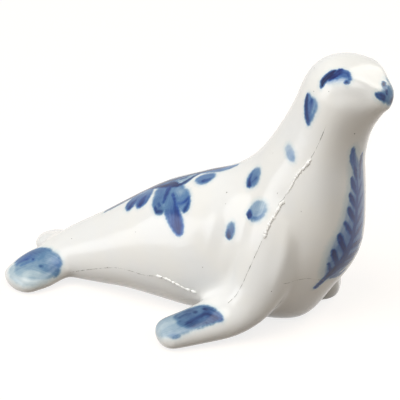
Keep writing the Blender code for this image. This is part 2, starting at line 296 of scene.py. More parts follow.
FRONT_STROKES = (
    (WASH, (0.20, 0.36), (0.1, 0.1), (
        (158.6, 330, 3.4), (163, 325.4, 6.2), (170, 321.2, 8.2), (178, 317.4, 8), (186, 314, 6.4))),
    (WASH, (0.28, 0.40), (0.1, 0.2), (
        (163, 332, 3.4), (172, 329.4, 5.6), (181, 326.6, 5.8), (190, 325, 4.6), (198, 323.6, 3.4))),
    (WASH, (0.72, 0.78), (0, 0.1), ((184, 321, 4.8), (193, 320.8, 6.2), (202, 318.6, 6), (211, 317.4, 5))),
    (WASH, (0.66, 0.76), (0, 0.1), (
        (181, 315.8, 4.4), (191, 313.4, 5.8), (202, 312.4, 5.6), (211, 314.2, 5))),
    (WASH, (0.74, 0.80), (0.2, 0.5), ((208.6, 314.6, 4), (214.8, 316.4, 4.6), (220.4, 319, 2.2))),
    (WASH, (0.46, 0.52), (0.4, 0.4), ((169.4, 335.2, 1.8), (174, 335.6, 2.4), (178.6, 335, 1.8))),
    (LINE, (0.58, 0.74), (0.2, 0.3), (
        (187.6, 323, 1.2), (193.6, 320, 1.6), (200.4, 316.2, 1.5), (206.4, 313.8, 1.4), (213.6, 316.6, 1.6),
        (217.4, 318.4, 1))),
    (LINE, (0.36, 0.46), (0.1, 0.1), ((180, 317.6, 1), (185, 314.8, 1.2), (189.6, 313.8, 0.9))),
    (LINE, (0.92, 0.92), (0.3, 0.3), ((204.6, 308.9, 0.9), (205.6, 309.1, 0.9))),
    (LINE, (0.76, 0.76), (0.2, 0.2), ((195, 312.1, 0.7), (196.2, 312.3, 0.7))),
)
FROND_STEM_STROKES = (
    (WASH, (0.10, 0.14), (0.3, 0.5), (
        (353.4, 150, 3), (355.4, 165, 5.2), (355.6, 180, 6.4), (354.6, 195, 7.2), (353.2, 208, 7.5),
        (350.8, 222, 7.8), (346.4, 236, 8.7), (340.8, 250, 9.3), (335.8, 262, 8), (330.8, 271, 5.8),
        (326, 277.5, 3))),
    (WASH, (0.24, 0.32), (0.6, 0.8), (
        (353.6, 151, 1.6), (355.4, 166, 3.8), (355.8, 180, 4.8), (354.8, 195, 5.8), (353.4, 208, 6.4),
        (351.2, 222, 7), (346.8, 236, 8), (341.2, 250, 8.4), (336.2, 262, 7), (331.4, 271, 4.6))),
    (WASH, (0.43, 0.47), (0.9, 1), (
        (355.5, 156, 1.4), (357, 168, 3), (357.6, 182, 3.8), (357.2, 195, 4.6), (356, 208, 5.2),
        (354, 222, 5.8), (349.6, 236, 6.6), (343.6, 250, 7), (338, 262, 5.8), (332.4, 271, 3.8),
        (326, 277.5, 1.8), (315.4, 287.4, 0.9))),
    (WASH, (0.48, 0.50), (1, 1), (
        (361, 157, 1.6), (361.3, 172, 3), (361.5, 190, 4), (361.5, 208, 5), (360, 225, 5.5),
        (356.5, 240, 6), (350, 254, 6), (343.5, 264, 4.6), (336, 272, 3))),
    (LINE, (0.62, 0.82), (1, 1), (
        (357, 178, 0.6), (357.4, 190, 1.1), (357, 203, 1.5), (356.2, 217, 1.8), (354, 231, 1.9),
        (350.8, 243, 2.1), (345.2, 256, 2.6), (338.4, 266.6, 2.6), (331.6, 272.8, 2.4), (325.4, 278.2, 1.5),
        (315.4, 287.4, 0.9))),
    (LINE, (0.98, 0.96), (0.3, 0.3), ((336, 267, 1.4), (331.6, 272.2, 2.3), (327.6, 276.4, 1.6))),
)
# Leaflets of the frond: strength, share of clear blue, then tip, core and foot on the stem.
LEAFLET_FADE = 0.85  # share of its strength that a leaflet keeps at its foot
FROND_LEAFLETS = (
    (0.66, 1, (352.9, 149, 1.2), (352.7, 158, 2.5), (354.6, 168, 1.4)),
    (0.92, 0.8, (353.6, 149.6, 0.9), (353.8, 151.6, 1.2), (353.8, 153.4, 0.8)),
    (0.88, 1, (354.7, 167.2, 1.2), (355.5, 171.8, 1.6), (356.6, 178.4, 1.1)),
    (0.86, 1, (351.9, 179.2, 1.3), (353.2, 184.4, 2), (357, 193.6, 1.1)),
    (0.90, 1, (350.2, 195.2, 1.4), (352.2, 199.6, 2.1), (356, 207.4, 1.3)),
    (0.96, 1, (348.8, 208.8, 1.4), (351, 213.2, 2.3), (355.2, 221.4, 1.4)),
    (0.90, 1, (345.2, 223, 1.3), (348.4, 228.2, 2), (352.8, 235.6, 1.5)),
    (0.94, 1, (339.6, 235.6, 1.9), (341, 240.6, 2.7), (345.8, 252.6, 2)),
    (0.98, 0.8, (333.4, 250.8, 1.8), (334.4, 255.4, 2.7), (338.2, 265.6, 2.2)),
    (0.94, 0.8, (328.7, 263.6, 1), (329.8, 268.2, 1.6), (331.4, 273.8, 1.8)),
    (0.94, 0.8, (361.9, 154.6, 1.2), (360.5, 164, 1.6), (359.7, 177.6, 0.9)),
    (0.74, 1, (361.7, 182.4, 0.8), (359.6, 190, 1.1), (357.4, 197.6, 0.9)),
    (0.78, 1, (362.5, 194.4, 0.9), (359.8, 202.8, 1.2), (356.6, 211.4, 1)),
    (0.82, 1, (362.5, 208.6, 1), (359.8, 216.6, 1.4), (355.8, 224.6, 1.2)),
    (0.90, 1, (361.8, 223.4, 1), (358.8, 229.6, 1.6), (354.8, 235.6, 1.4)),
    (0.96, 1, (362.2, 237.6, 0.9), (357.6, 242.4, 1.6), (351.4, 247.2, 1.6)),
    (0.98, 0.9, (358.8, 248.8, 1.1), (353, 254.2, 1.7), (345.8, 259.2, 1.8)),
    (0.90, 0.9, (352.4, 258.6, 1), (347.2, 263.2, 1.5), (339.8, 267.4, 1.6)),
    (0.70, 0.9, (344.6, 269.8, 1), (339.6, 274.2, 1.6), (331.6, 277.2, 1.2)),
)

# Soft changes of the wash: change of strength, change of clear blue, x, y, radius.
HIND_DABS = (
    (0.14, 0.4, 27, 258, 6),
    (0.06, 0.3, 58, 264, 5),
    (-0.12, -0.2, 38, 271, 7),
    (-0.12, -0.2, 26, 275, 6),
    (-0.10, 0, 48, 261, 5),
)
FRONT_DABS = (
    (-0.12, -0.2, 198, 310, 5),
    (-0.10, -0.3, 178, 318, 6),
    (-0.08, 0, 205, 326, 4),
)
SPRAY_DABS = (
    (-0.14, -0.2, 181, 192, 5),
    (-0.14, -0.2, 166, 206, 5),
)

# The casting seam, as paths of (x, y) in the view, and where glaze has crumbed on it.
NECK_SEAM = ((326, 126), (321, 138), (316, 149), (311, 158))
SHOULDER_CRACK = ((286.2, 194), (283.4, 199), (279.2, 202.8), (277.8, 207))
LEG_SEAM = (
    (264.7, 232.4), (263.2, 237.4), (261.1, 242.4), (258.3, 248.8), (254.7, 256.6), (251.2, 264.4),
    (247.6, 272.2), (243.3, 282.2), (238, 292), (234.5, 297), (228, 303),
)
SHOULDER_CRUMBS = (
    (309.8, 160.8), (304, 168), (299, 173), (295.4, 178), (292.8, 183.6), (290.6, 187.4), (287.8, 192.4),
)
SHOULDER_LOW_CRUMBS = (
    (283.4, 202.4), (280.6, 204.6), (278.8, 208), (275.8, 213.4), (274, 217), (270.8, 221.2), (268.6, 226.2),
    (265.8, 232.6), (264.4, 237.4),
)
BELLY_SEAM = (
    (70, 272.4), (82, 270.4), (94, 269), (107.5, 267.8), (118, 268), (131, 271), (144, 275), (158, 276.2),
)
BELLY_CRUMBS = (
    (157, 276), (167, 279.4), (176, 284), (185, 288.6), (196, 292.4),
)
CHEST_SEAM = (
    (283.6, 283.8), (289.8, 282.6), (294.6, 280.6), (301.4, 279.3), (308, 278.4), (315, 279.6), (324, 280),
)
SPECK_PLACES = (
    (328.8, 91.4, 0.5), (313.8, 91.2, 0.5), (354.6, 133.8, 0.8), (314.2, 68, 0.7), (271.5, 291.4, 0.6),
    (226.8, 192.4, 0.8), (277.4, 193.2, 0.5), (301.2, 211.4, 0.5), (107.4, 267.4, 0.6), (71.6, 238.6, 0.6),
    (202.6, 267.2, 0.6), (135.4, 232, 0.5), (225.6, 203.8, 0.4), (272.8, 153.2, 0.5),
)


def linked(name, mesh):
    obj = bpy.data.objects.new(name, mesh)
    bpy.context.scene.collection.objects.link(obj)
    return obj


def fixed_mesh(obj):
    """Makes what the modifiers show the object's own mesh, and takes the modifiers off."""
    graph = bpy.context.evaluated_depsgraph_get()
    made = bpy.data.meshes.new_from_object(obj.evaluated_get(graph))
    obj.modifiers.clear()
    obj.data = made
    made.name = obj.name
    return made


def read_vectors(collection, name, count=3):
    values = np.empty(len(collection) * count, np.float32)
    collection.foreach_get(name, values)
    return values.reshape(-1, count).astype(float)


def unit(vectors):
    return vectors / np.maximum(np.linalg.norm(vectors, axis=-1, keepdims=True), 1e-12)


def catmull_rom(before, start, end, after, t):
    return 0.5 * (
        2 * start
        + (end - before) * t
        + (2 * before - 5 * start + 4 * end - after) * t * t
        + (3 * start - before - 3 * end + after) * t * t * t
    )


def smooth_path(places, gap):
    """Points a gap or less apart on one smooth curve through the places; x and y come first."""
    rows = np.array(places, float)
    last = len(rows) - 1
    found = []
    for i in range(last):
        start, end = rows[i], rows[i + 1]
        before = rows[i - 1] if i > 0 else 2 * start - end
        after = rows[i + 2] if i + 2 <= last else 2 * end - start
        steps = max(1, math.ceil(np.linalg.norm((end - start)[:2]) / gap))
        found += [catmull_rom(before, start, end, after, n / steps) for n in range(steps)]
    return np.array(found + [rows[last]])


def way_out(azimuth, elevation):
    """The way from the seal to an eye or lamp, by angles round from its right side and up."""
    level = math.cos(elevation)
    return Vector((math.sin(azimuth) * level, -math.cos(azimuth) * level, math.sin(elevation)))


class PictureView:
    """The pinhole view of the picture, which turns its pixels into places on the skin."""

    def __init__(self):
        self.back = way_out(VIEW_AZIMUTH, VIEW_ELEVATION)
        self.right = Vector((math.cos(VIEW_AZIMUTH), math.sin(VIEW_AZIMUTH), 0))
        self.up = self.back.cross(self.right)
        self.eye = VIEW_TARGET + self.back * VIEW_DISTANCE

    def direction(self, x, y):
        side = self.right * (x - PICTURE_MIDDLE) - self.up * (y - PICTURE_MIDDLE)
        return (side / FOCAL_PIXELS - self.back).normalized()

    def place(self, skin, x, y):
        """The place that the pixel shows, or the nearest on the skin where it shows none."""
        along = self.direction(x, y)
        spot, normal = skin.ray_cast(self.eye, along)[:2]
        if spot is None:
            spot = VIEW_TARGET
            for _ in range(NEAREST_ROUNDS):
                spot = self.eye + along * (spot - self.eye).dot(along)
                spot, normal = skin.find_nearest(spot)[:2]
        return spot, normal

    def pixel_size(self, spot):
        return (self.eye - spot).dot(self.back) / FOCAL_PIXELS


def raise_relief(mesh, skin):
    """Pushes the skin out along the ridges and in along the hollows."""
    view = PictureView()
    points = read_vectors(mesh.vertices, "co")
    normals = read_vectors(mesh.vertex_normals, "vector")
    moved = np.zeros(len(points))
    for height, path in RELIEF:
        own_side = lay_stroke(view, skin, LINE, (1, 1), (0, 0), path)
        across, centre = far_side_of(path)
        for ridge in (own_side, own_side.mirrored(skin, centre, across, NO_SHIFT, False)):
            reach = RELIEF_REACH * ridge.halves.max()
            near = np.nonzero(np.all(
                (points > ridge.spots.min(0) - reach) & (points < ridge.spots.max(0) + reach), axis=1,
            ))[0]
            gaps = np.linalg.norm(points[near][:, None] - ridge.spots[None], axis=2) / ridge.halves
            swell = np.sin(np.linspace(0, math.pi, len(ridge.spots))) ** RIDGE_FULLNESS
            share = (swell * np.exp(-(gaps ** 2))).max(1) * (normals[near] @ ridge.normals.mean(0) > 0)
            moved[near] += share * height
    points += normals * moved[:, None] * MM
    mesh.vertices.foreach_set("co", points.astype(np.float32).ravel())
    mesh.update()


def far_side_of(path):
    """The way to the seal's left for a path, and a point of the plane between its two sides."""
    if path[0][1] < HEAD_EDGE:
        return HEAD_LEFT, NECK
    return BODY_LEFT, BODY_MIDDLE


class Stroke:
    """A brush stroke on the skin: middle points, their normals, half widths and strengths."""

    def __init__(self, layer, spots, normals, halves, tones, blues, hidden=False):
        self.hidden = hidden  # whether it stays off the skin that the picture shows
        self.layer = layer
        self.spots = spots
        self.normals = normals
        self.halves = halves
        self.tones = tones
        self.blues = blues

    def mirrored(self, skin, centre, across, shift, hidden):
        """The same stroke on the seal's other side, where the picture doesn't reach."""
        spots, normals = [], []
        for spot in self.spots:
            point = Vector(spot)
            flipped = point - across * (2 * (point - centre).dot(across)) + shift
            near, normal = skin.find_nearest(flipped)[:2]
            spots.append(near)
            normals.append(normal)
        return Stroke(
            self.layer, np.array(spots), np.array(normals), self.halves, self.tones, self.blues, hidden
        )


def lay_stroke(view, skin, layer, tones, blues, path):
    """The stroke that the path makes on the skin, as wide there as it looks in the picture."""
    rows = smooth_path(path, STROKE_GAP)
    ways = np.gradient(rows[:, :2], axis=0)
    spots, normals, halves = [], [], []
    for (x, y, half), (way_x, way_y) in zip(rows, ways):
        spot, normal = view.place(skin, x, y)
        across = (view.right * way_y + view.up * way_x).normalized()
        facing = max(FLATTEST_FACING, normal.dot(view.back))
        slant = min(WIDEST_SLANT, math.hypot(1, across.dot(normal) / facing))
        spots.append(spot)
        normals.append(normal)
        halves.append(half * FULLNESS[layer] * slant * view.pixel_size(spot))
    share = np.linspace(0, 1, len(rows))
    return Stroke(
        layer,
        np.array(spots),
        np.array(normals),
        np.array(halves),
        tones[0] + (tones[1] - tones[0]) * share,
        blues[0] + (blues[1] - blues[0]) * share,
    )


class Painting:
    """What the brush leaves on each point of the skin, as layers of washes and lines."""

    def __init__(self, points, normals, view):
        self.points = points
        self.normals = normals
        self.shown = normals @ np.array(view.back)
        count = len(points)
        self.edge = {layer: np.full(count, PAINT_REACH) for layer in LAYERS}
        self.tone = {layer: np.zeros(count) for layer in LAYERS}
        self.blue = {layer: np.zeros(count) for layer in LAYERS}
        self.brush = np.zeros((count, 3))
        self.strokes = 0

    def near(self, spots, reach):
        low = spots.min(0) - reach
        high = spots.max(0) + reach
        return np.nonzero(np.all((self.points > low) & (self.points < high), axis=1))[0]

    def add(self, stroke):
        near = self.near(stroke.spots, PAINT_REACH + stroke.halves.max())
        if not len(near):
            return
        gaps = self.points[near][:, None] - stroke.spots[None]
        facing = self.normals[near] @ stroke.normals.T
        away = AWAY_GAP * np.maximum(0, TURNED_AWAY - facing)
        depth = np.linalg.norm(gaps, axis=2) - stroke.halves + away
        if stroke.hidden:
            depth += SHOWN_GAP * np.maximum(0, self.shown[near])[:, None]
        pick = depth.argmin(1)
        rows = np.arange(len(near))
        edge = depth[rows, pick]
        layer = stroke.layer
        old = self.edge[layer][near]
        cover = np.clip(-edge / OVERLAP, 0, 1)
        cover[(old > 0) & (edge < old)] = 1
        for field, values in ((self.tone, stroke.tones), (self.blue, stroke.blues)):
            field[layer][near] += cover * (values[pick] - field[layer][near])
        self.edge[layer][near] = np.minimum(old, edge)
        ways = unit(np.gradient(stroke.spots, axis=0))
        sides = np.cross(stroke.normals, ways)
        across = (gaps[rows, pick] * sides[pick]).sum(1)
        lengths = np.r_[0, np.cumsum(np.linalg.norm(np.diff(stroke.spots, axis=0), axis=1))]
        taken = cover > 0.5
        self.brush[near[taken]] = np.stack([
            lengths[pick] / MM, across / MM, np.full(len(near), float(self.strokes)),
        ], 1)[taken]
        self.strokes += 1

    def dab(self, tone, blue, spot, normal, radius):
        near = self.near(spot[None], DAB_REACH * radius)
        gap = np.linalg.norm(self.points[near] - spot, axis=1)
        share = np.exp(-((gap / radius) ** 2)) * (self.normals[near] @ normal > 0)
        self.tone[WASH][near] += tone * share
        self.blue[WASH][near] += blue * share


def all_strokes(view, skin):
    """Every stroke in the order it is laid; in each group the far side's come first."""
    groups = (
        (EYE_STROKES, NECK, HEAD_LEFT, LEFT_EYE_SHIFT, True),
        (EAR_STROKES, NECK, HEAD_LEFT, NO_SHIFT, True),
        (NOSE_STROKES, NECK, HEAD_LEFT, NO_SHIFT, True),
        (NECK_SPOT_STROKES, BODY_MIDDLE, BODY_LEFT, NO_SHIFT, True),
        (BACK_STROKES, BODY_MIDDLE, BODY_LEFT, NO_SHIFT, True),
        (SPRAY_STROKES, BODY_MIDDLE, BODY_LEFT, NO_SHIFT, True),
        (HIND_STROKES, BODY_MIDDLE, BODY_LEFT, LEFT_HIND_SHIFT, False),
        (FRONT_STROKES, BODY_MIDDLE, BODY_LEFT, LEFT_FRONT_SHIFT, False),
    )
    for strokes, centre, across, shift, hidden in groups:
        laid = [lay_stroke(view, skin, *stroke) for stroke in strokes]
        yield from (stroke.mirrored(skin, centre, across, shift, hidden) for stroke in laid)
        yield from laid
    yield from (lay_stroke(view, skin, *stroke) for stroke in frond_strokes())


def frond_strokes():
    leaflets = [
        (LINE, (tone, LEAFLET_FADE * tone), (blue, blue), path) for tone, blue, *path in FROND_LEAFLETS
    ]
    return FROND_STEM_STROKES + tuple(leaflets)


def paint_skin(mesh, skin):
    view = PictureView()
    points = read_vectors(mesh.vertices, "co")
    normals = read_vectors(mesh.vertex_normals, "vector")
    painting = Painting(points, normals, view)
    for stroke in all_strokes(view, skin):
        painting.add(stroke)
    groups = ((HIND_DABS, LEFT_HIND_SHIFT), (FRONT_DABS, LEFT_FRONT_SHIFT), (SPRAY_DABS, NO_SHIFT))
    for dabs, shift in groups:
        for tone, blue, x, y, radius in dabs:
            spot, normal = view.place(skin, x, y)
            size = radius * view.pixel_size(spot)
            painting.dab(tone, blue, np.array(spot), np.array(normal), size)
            flipped = Vector((spot.x, -spot.y, spot.z)) + shift
            far_spot, far_normal = skin.find_nearest(flipped)[:2]
            painting.dab(tone, blue, np.array(far_spot), np.array(far_normal), size)
    for layer in LAYERS:
        fields = (
            ("edge", painting.edge[layer] / MM),
            ("strength", painting.tone[layer]),
            ("clear_blue", painting.blue[layer]),
        )
        for name, values in fields:
            attribute = mesh.attributes.new(f"{layer}_{name}", "FLOAT", "POINT")
            attribute.data.foreach_set("value", values.astype(np.float32))
    brush = mesh.attributes.new("brush", "FLOAT_VECTOR", "POINT")
    brush.data.foreach_set("vector", painting.brush.astype(np.float32).ravel())


def without_facets(points, edges, passes):
    """The points with the CAD skin's facets eased out, and the body as full as before."""
    first, second = edges.T
    count = len(points)
    neighbours = np.bincount(edges.ravel(), minlength=count)[:, None]
    for n in range(2 * passes):
        total = np.stack([
            np.bincount(first, column[second], count) + np.bincount(second, column[first], count)
            for column in points.T
        ], 1)
        points = points + (EASE_OUT if n % 2 else EASE_IN) * (total / neighbours - points)
    return points


def make_skin(settings):
    """A fine, even copy of the CAD body without its facets."""
    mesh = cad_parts[CAD_NODE].data.copy()
    merged = bmesh.new()
    merged.from_mesh(mesh)
    bmesh.ops.remove_doubles(merged, verts=merged.verts, dist=WELD_GAP)
    merged.to_mesh(mesh)
    merged.free()
    body = linked("glazed_seal", mesh)
    remesh = body.modifiers.new("fine skin", "REMESH")
    remesh.mode = "VOXEL"
    remesh.voxel_size = settings.skin_grid
    mesh = fixed_mesh(body)
    edges = np.empty(len(mesh.edges) * 2, np.int32)
    mesh.edges.foreach_get("vertices", edges)
    points = without_facets(read_vectors(mesh.vertices, "co"), edges.reshape(-1, 2), settings.smoothing)
    points[:, 2] = np.maximum(points[:, 2], 0)
    mesh.vertices.foreach_set("co", points.astype(np.float32).ravel())
    mesh.update()
    mesh.shade_smooth()
    return body


def skin_tree(mesh):
    points = [vertex.co.copy() for vertex in mesh.vertices]
    return BVHTree.FromPolygons(points, [tuple(face.vertices) for face in mesh.polygons])


class Shader:
    """Short calls for the nodes of one material."""

    def __init__(self, name):
        self.material = bpy.data.materials.new(name)
        self.material.use_nodes = True
        self.nodes = self.material.node_tree.nodes
        self.links = self.material.node_tree.links
        self.surface = self.nodes["Principled BSDF"]

    def plug(self, value, socket):
        if isinstance(value, bpy.types.NodeSocket):
            self.links.new(value, socket)
        else:
            socket.default_value = value

    def feed(self, name, value):
        self.plug(value, self.surface.inputs[name])

    def attribute(self, name, output="Fac"):
        node = self.nodes.new("ShaderNodeAttribute")
        node.attribute_name = name
        return node.outputs[output]

    def place(self):
        return self.nodes.new("ShaderNodeTexCoord").outputs["Object"]

    def math(self, operation, first, second=0.0):
        node = self.nodes.new("ShaderNodeMath")
        node.operation = operation
        self.plug(first, node.inputs[0])
        self.plug(second, node.inputs[1])
        return node.outputs[0]

    def ease(self, value, low, high, start=0.0, end=1.0):
        node = self.nodes.new("ShaderNodeMapRange")
        node.interpolation_type = "SMOOTHSTEP"
        self.plug(value, node.inputs["Value"])
        for name, number in (("From Min", low), ("From Max", high), ("To Min", start), ("To Max", end)):
            self.plug(number, node.inputs[name])
        return node.outputs["Result"]

    def noise(self, vector, scale, detail=2.0, roughness=0.5):
        node = self.nodes.new("ShaderNodeTexNoise")
        self.plug(vector, node.inputs["Vector"])
        self.plug(scale, node.inputs["Scale"])
        self.plug(detail, node.inputs["Detail"])
        self.plug(roughness, node.inputs["Roughness"])
        return node.outputs["Fac"]

    def stretch(self, vector, scale):
        node = self.nodes.new("ShaderNodeMapping")
        self.plug(vector, node.inputs["Vector"])
        self.plug(scale, node.inputs["Scale"])
        return node.outputs["Vector"]

    def mix(self, share, first, second):
        node = self.nodes.new("ShaderNodeMix")
        node.data_type = "RGBA"
        self.plug(share, node.inputs["Factor"])
        colours = [socket for socket in node.inputs if socket.type == "RGBA"]
        self.plug(first, colours[0])
        self.plug(second, colours[1])
        return next(socket for socket in node.outputs if socket.type == "RGBA")

    def ramp(self, value, stops):
        node = self.nodes.new("ShaderNodeValToRGB")
        self.plug(value, node.inputs["Fac"])
        ramp = node.color_ramp
        while len(ramp.elements) < len(stops):
            ramp.elements.new(0.5)
        for element, (position, colour) in zip(ramp.elements, stops):
            element.position = position
            element.color = (*colour, 1)
        return node.outputs["Color"]

    def bump(self, height, distance, normal=None):
        node = self.nodes.new("ShaderNodeBump")
        node.inputs["Strength"].default_value = 1.0
        node.inputs["Distance"].default_value = distance
        self.plug(height, node.inputs["Height"])
        if normal is not None:
            self.plug(normal, node.inputs["Normal"])
        return node.outputs["Normal"]


def painted_glaze(glaze, brushwork):
    """Warm white glaze with the blue painting under it."""
    shader = Shader("painted glaze")
    place = shader.place()
    swing = shader.math("SUBTRACT", shader.noise(place, WOBBLE_WAVES, 3), 0.5)
    wobble = shader.math("MULTIPLY", swing, brushwork.edge_wobble)
    streaks = shader.noise(shader.stretch(shader.attribute("brush", "Vector"), STREAK_STRETCH), 1.0)
    cloud = shader.noise(place, CLOUD_WAVES, 3)
    edges = {layer: shader.attribute(f"{layer}_edge") for layer in LAYERS}
    paints = []
    for layer in LAYERS:
        cover = shader.ease(shader.math("ADD", edges[layer], wobble), SOFTNESS[layer], -SOFTNESS[layer])
        rim = shader.math("MULTIPLY", shader.ease(edges[layer], *RIM), RIM_STRENGTH)
        grain = shader.math("ADD", shader.ease(streaks, *WIDE_SPAN, *STREAK_TONES), rim)
        grain = shader.math("MULTIPLY", grain, shader.ease(cloud, *WIDE_SPAN, *CLOUD_TONES))
        toned = shader.math("MULTIPLY", cover, shader.attribute(f"{layer}_strength"))
        paints.append(shader.math("MULTIPLY", toned, grain))
    bare = [shader.math("SUBTRACT", 1.0, paint) for paint in paints]
    amount = shader.math("SUBTRACT", 1.0, shader.math("MULTIPLY", *bare))
    lined = shader.ease(edges[LINE], LINE_BLEND, -LINE_BLEND)
    clear = shader.mix(lined, *(shader.attribute(f"{layer}_clear_blue") for layer in LAYERS))
    paint = shader.mix(clear, shader.ramp(amount, GREY_BLUES), shader.ramp(amount, CLEAR_BLUES))
    warmth = shader.ease(shader.noise(place, WARMTH_WAVES), *NARROW_SPAN)
    warm = shader.mix(warmth, (*glaze.colour, 1), (*glaze.cool_colour, 1))
    beside = shader.math("MINIMUM", edges[WASH], edges[LINE])
    beside = shader.math("ADD", beside, shader.math("MULTIPLY", wobble, BLEED_WOBBLE))
    near = shader.ease(beside, brushwork.bleed_width / MM, BLEED_START)
    bleed = shader.math("MULTIPLY", near, brushwork.bleed)
    hazed = shader.mix(bleed, warm, (*brushwork.bleed_colour, 1))
    shader.feed("Base Color", shader.mix(shader.ease(amount, 0.0, FULL_COLOUR), hazed, paint))
    shader.feed("Specular IOR Level", glaze.gloss)
    rough = (glaze.roughness, glaze.roughness + SHEEN_SPREAD)
    shader.feed("Roughness", shader.ease(shader.noise(place, SHEEN_WAVES), *WIDE_SPAN, *rough))
    ripples = shader.bump(shader.noise(place, RIPPLE_WAVES), glaze.waviness)
    fine = shader.noise(place, FINE_RIPPLE_WAVES)
    shader.feed("Normal", shader.bump(fine, FINE_RIPPLE * glaze.waviness, ripples))
    return shader.material


def mottled(name, waves, first, second, roughness):
    """A material that drifts between two colours and between two roughnesses."""
    shader = Shader(name)
    cloud = shader.noise(shader.place(), waves)
    shader.feed("Base Color", shader.mix(shader.ease(cloud, *NARROW_SPAN), (*first, 1), (*second, 1)))
    shader.feed("Roughness", shader.ease(cloud, *WIDE_SPAN, *roughness))
    return shader.material


class Tree:
    """Short calls for one Geometry Nodes tree on one object."""

    def __init__(self, name):
        self.tree = bpy.data.node_groups.new(name, "GeometryNodeTree")
        self.tree.interface.new_socket(name="Geometry", in_out="INPUT", socket_type="NodeSocketGeometry")
        self.tree.interface.new_socket(name="Geometry", in_out="OUTPUT", socket_type="NodeSocketGeometry")
        self.input = self.tree.nodes.new("NodeGroupInput")
        self.output = self.tree.nodes.new("NodeGroupOutput")
        self.sockets = {}

    def named_input(self, name, kind, value):
        """Adds a named input with its value, and gives the socket to link from."""
        socket = self.tree.interface.new_socket(name=name, in_out="INPUT", socket_type=kind)
        self.sockets[socket.identifier] = value
        return self.input.outputs[name]

    def node(self, kind, inputs=(), **settings):
        node = self.tree.nodes.new(kind)
        for name, value in settings.items():
            setattr(node, name, value)
        for socket, value in dict(inputs).items():
            if isinstance(value, bpy.types.NodeSocket):
                self.tree.links.new(value, node.inputs[socket])
            else:
                node.inputs[socket].default_value = value
        return node

    def math(self, operation, first, second):
        return self.node("ShaderNodeMath", {0: first, 1: second}, operation=operation).outputs[0]

    def stored(self, name, kind):
        node = self.node("GeometryNodeInputNamedAttribute", {"Name": name}, data_type=kind)
        return node.outputs["Attribute"]

    def random(self, kind, inputs):
        """A random value for each point, of the kind FLOAT or BOOLEAN."""
        node = self.node("FunctionNodeRandomValue", inputs, data_type=kind)
        wanted = {"FLOAT": "VALUE", "BOOLEAN": "BOOLEAN"}[kind]
        return next(socket for socket in node.outputs if socket.type == wanted and socket.enabled)

    def finish(self, geometry, material):
        """Ends the tree with plain geometry in one material."""
        plain = self.node("GeometryNodeRealizeInstances", {"Geometry": geometry})
        dressed = self.node("GeometryNodeSetMaterial", {"Geometry": plain.outputs[0], "Material": material})
        self.tree.links.new(dressed.outputs[0], self.output.inputs[0])

    def make(self, obj):
        """Runs the tree on the object and keeps the result as its plain mesh."""
        modifier = obj.modifiers.new(self.tree.name, "NODES")
        modifier.node_group = self.tree
        for identifier, value in self.sockets.items():
            modifier[identifier] = value
        mesh = fixed_mesh(obj)
        mesh.shade_smooth()
        return obj


def points_object(name, placed, sizes):
    """Loose points at the places on the skin, each with its normal and its size."""
    mesh = bpy.data.meshes.new(name)
    mesh.from_pydata([tuple(spot) for spot, normal in placed], [], [])
    facing = mesh.attributes.new("facing", "FLOAT_VECTOR", "POINT")
    normals = np.array([tuple(normal) for spot, normal in placed], np.float32)
    facing.data.foreach_set("vector", normals.ravel())
    size = mesh.attributes.new("size", "FLOAT", "POINT")
    size.data.foreach_set("value", np.array(sizes, np.float32))
    return linked(name, mesh)


def beads_on(obj, title, size, flatness, spread, keep, seed, material):
    """Flattened beads, one at each point, turned at random about the skin's normal."""
    tree = Tree(title)
    bead_size = tree.named_input("Bead Size", "NodeSocketFloat", size)
    flat = tree.named_input("Flatness", "NodeSocketFloat", flatness)
    varied = tree.named_input("Size Spread", "NodeSocketFloat", spread)
    share = tree.named_input("Share Kept", "NodeSocketFloat", keep)
    number = tree.named_input("Seed", "NodeSocketInt", seed)
    bead = tree.node("GeometryNodeMeshIcoSphere", {"Radius": 1.0, "Subdivisions": BEAD_FACES_LEVEL})
    shape = tree.node("ShaderNodeCombineXYZ", {"X": 1.0, "Y": BEAD_NARROWNESS, "Z": flat})
    pressing = {"Geometry": bead.outputs["Mesh"], "Scale": shape.outputs[0]}
    pressed = tree.node("GeometryNodeTransform", pressing)
    normal = tree.stored("facing", "FLOAT_VECTOR")
    upright = tree.node("FunctionNodeAlignRotationToVector", {"Vector": normal}, axis="Z")
    spin = tree.random("FLOAT", {"Min": 0.0, "Max": math.tau, "Seed": number})
    turn = tree.node("FunctionNodeAxisAngleToRotation", {"Axis": (0, 0, 1), "Angle": spin})
    turns = {"Rotation": upright.outputs[0], "Rotate By": turn.outputs[0]}
    rotation = tree.node("FunctionNodeRotateRotation", turns, rotation_space="LOCAL")
    low = tree.math("SUBTRACT", 1.0, varied)
    high = tree.math("ADD", 1.0, varied)
    factor = tree.random("FLOAT", {"Min": low, "Max": high, "Seed": number})
    own_size = tree.math("MULTIPLY", factor, tree.stored("size", "FLOAT"))
    placed = tree.node("GeometryNodeInstanceOnPoints", {
        "Points": tree.input.outputs["Geometry"],
        "Selection": tree.random("BOOLEAN", {"Probability": share, "Seed": number}),
        "Instance": pressed.outputs[0],
        "Rotation": rotation.outputs[0],
        "Scale": tree.math("MULTIPLY", own_size, bead_size),
    })
    tree.finish(placed.outputs[0], material)
    return tree.make(obj)


